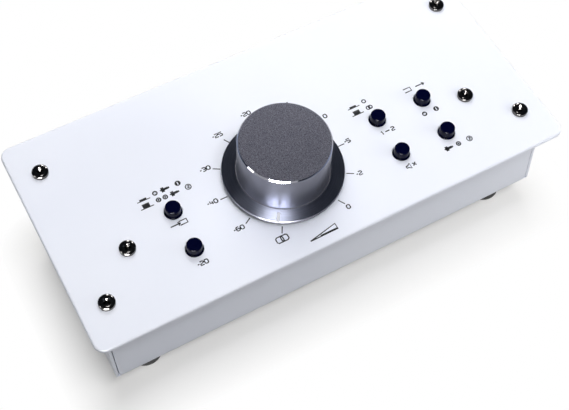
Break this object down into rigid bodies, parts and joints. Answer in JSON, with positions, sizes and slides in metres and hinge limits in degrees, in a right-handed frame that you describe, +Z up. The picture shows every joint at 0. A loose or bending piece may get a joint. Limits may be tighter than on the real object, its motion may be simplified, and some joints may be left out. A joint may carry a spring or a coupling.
{
  "type": "studio monitor controller",
  "caption": "Low desktop audio controller: sloping steel plate with a large level knob and push-buttons, on a folded case with rubber feet and a row of connectors at the back.",
  "frame": {"origin": "centre of the footprint, on the surface that the feet stand on", "axes": "+X to the right as the user sees it, +Y to the back where the connectors are, +Z up"},
  "size_m": [0.21, 0.098, 0.0773],
  "materials": {
    "white_powder_coat": "smooth white powder coat, satin",
    "anodised_knob": "bead-blasted and anodised, turned bevels left bright",
    "black_cap_plastic": "moulded black, semi-gloss",
    "black_rubber": "moulded, matt",
    "nickel_screws": "nickel plated, polished",
    "zinc_hardware": "bright zinc plated",
    "circuit_board": "green solder mask",
    "connector_plastic": "black glass-filled nylon",
    "nickel_shell": "die-cast, satin nickel",
    "contact_brass": "gold-flashed brass",
    "red_insulator": "moulded red",
    "white_insulator": "moulded white",
    "switch_plastic": "moulded dark grey",
    "white_plunger": "moulded natural acetal",
    "ribbon_vinyl": "grey vinyl"
  },
  "bodies": {
    "case": {"aux_input_jack": "connector_plastic", "aux_nuts": "zinc_hardware", "aux_output_jack": "connector_plastic", "board_screws": "nickel_screws", "case_tray": "white_powder_coat", "clinch_nuts": "zinc_hardware", "combo_jack_left": "connector_plastic", "combo_jack_right": "connector_plastic", "connector_screws": "nickel_screws", "control_board": "circuit_board", "dim_switch_body": "switch_plastic", "foot_screws": "nickel_screws", "hanging_spacers": "zinc_hardware", "input_switch_body": "switch_plastic", "main_board": "circuit_board", "main_board_pillars": "zinc_hardware", "mute_switch_body": "switch_plastic", "output_a_switch_body": "switch_plastic", "output_b_switch_body": "switch_plastic", "pillar_screws": "nickel_screws", "plate_screws": "nickel_screws", "pot_body": "switch_plastic", "pot_bushing": "contact_brass", "pot_nut": "zinc_hardware", "pot_washer": "zinc_hardware", "rca_housing": "connector_plastic", "rca_insulator_red": "red_insulator", "rca_insulator_white": "white_insulator", "rca_shells": "contact_brass", "ribbon_cable": "ribbon_vinyl", "ribbon_headers": "switch_plastic", "rubber_feet": "black_rubber", "select_switch_body": "switch_plastic", "top_plate": "white_powder_coat", "trs_nuts": "zinc_hardware", "trs_output_left": "connector_plastic", "trs_output_right": "connector_plastic", "trs_washers": "zinc_hardware", "xlr_inserts": "connector_plastic", "xlr_output_left": "nickel_shell", "xlr_output_pins": "contact_brass", "xlr_output_right": "nickel_shell"},
    "knob": {"level_knob": "anodised_knob", "knob_grub_screw": "zinc_hardware", "pot_shaft": "contact_brass"},
    "input_button": {"input_button_cap": "black_cap_plastic", "input_switch_plunger": "white_plunger"},
    "dim_button": {"dim_button_cap": "black_cap_plastic", "dim_switch_plunger": "white_plunger"},
    "select_button": {"select_button_cap": "black_cap_plastic", "select_switch_plunger": "white_plunger"},
    "mute_button": {"mute_button_cap": "black_cap_plastic", "mute_switch_plunger": "white_plunger"},
    "output_a_button": {"output_a_button_cap": "black_cap_plastic", "output_a_switch_plunger": "white_plunger"},
    "output_b_button": {"output_b_button_cap": "black_cap_plastic", "output_b_switch_plunger": "white_plunger"},
    "combo_left_release": {"combo_latch_left": "nickel_shell"},
    "combo_right_release": {"combo_latch_right": "nickel_shell"}
  },
  "joints": [
    {"name": "level_turn", "type": "hinge", "parent": "case", "child": "knob", "pos_m": [-0.0083, -0.01203, 0.0536], "axis": [0, -0.1219, 0.9925], "range_deg": [-300, 0]},
    {"name": "input_press", "type": "slide", "parent": "case", "child": "input_button", "axis": [0, -0.1219, 0.9925], "range_m": [-0.003, 0], "stiffness_N_per_m": 500, "springref_m": 0.001},
    {"name": "dim_press", "type": "slide", "parent": "case", "child": "dim_button", "axis": [0, -0.1219, 0.9925], "range_m": [-0.003, 0], "stiffness_N_per_m": 500, "springref_m": 0.001},
    {"name": "select_press", "type": "slide", "parent": "case", "child": "select_button", "axis": [0, -0.1219, 0.9925], "range_m": [-0.003, 0], "stiffness_N_per_m": 500, "springref_m": 0.001},
    {"name": "mute_press", "type": "slide", "parent": "case", "child": "mute_button", "axis": [0, -0.1219, 0.9925], "range_m": [-0.003, 0], "stiffness_N_per_m": 500, "springref_m": 0.001},
    {"name": "output_a_press", "type": "slide", "parent": "case", "child": "output_a_button", "axis": [0, -0.1219, 0.9925], "range_m": [-0.003, 0], "stiffness_N_per_m": 500, "springref_m": 0.001},
    {"name": "output_b_press", "type": "slide", "parent": "case", "child": "output_b_button", "axis": [0, -0.1219, 0.9925], "range_m": [-0.003, 0], "stiffness_N_per_m": 500, "springref_m": 0.001},
    {"name": "combo_left_release_press", "type": "slide", "parent": "case", "child": "combo_left_release", "axis": [0, -1, 0], "range_m": [0, 0.0012], "stiffness_N_per_m": 800, "springref_m": -0.0005},
    {"name": "combo_right_release_press", "type": "slide", "parent": "case", "child": "combo_right_release", "axis": [0, -1, 0], "range_m": [0, 0.0012], "stiffness_N_per_m": 800, "springref_m": -0.0005}
  ]
}
